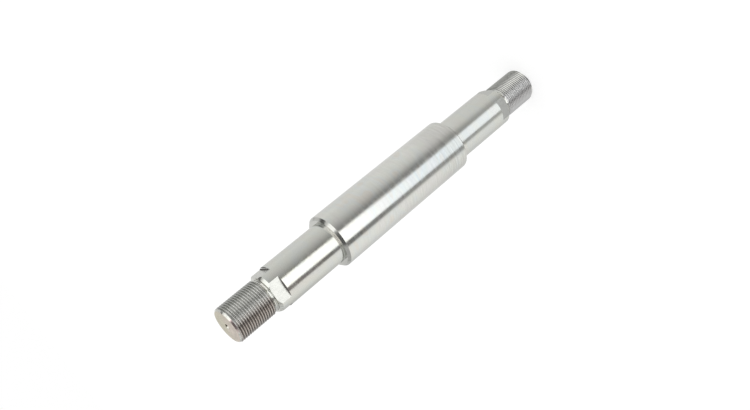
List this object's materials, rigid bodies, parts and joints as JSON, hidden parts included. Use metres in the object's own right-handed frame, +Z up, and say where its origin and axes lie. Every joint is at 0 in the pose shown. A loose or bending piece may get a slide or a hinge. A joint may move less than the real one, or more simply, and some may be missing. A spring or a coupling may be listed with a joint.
{
  "type": "stepped shaft",
  "caption": "Turned steel shaft with a thick middle, a ground bearing journal with milled spanner flats on each side, and a threaded stub at both ends.",
  "frame": {"origin": "centre of the lower end face, on the shaft's axis", "axes": "+Z up along the shaft's axis towards its upper end; +X and +Y square to the upper end's milled flats"},
  "size_m": [0.045, 0.045, 0.34],
  "materials": {
    "steel": "turned and ground steel, bright, with fine turning marks round the middle"
  },
  "bodies": {
    "root": {"shaft": "steel"}
  },
  "joints": []
}
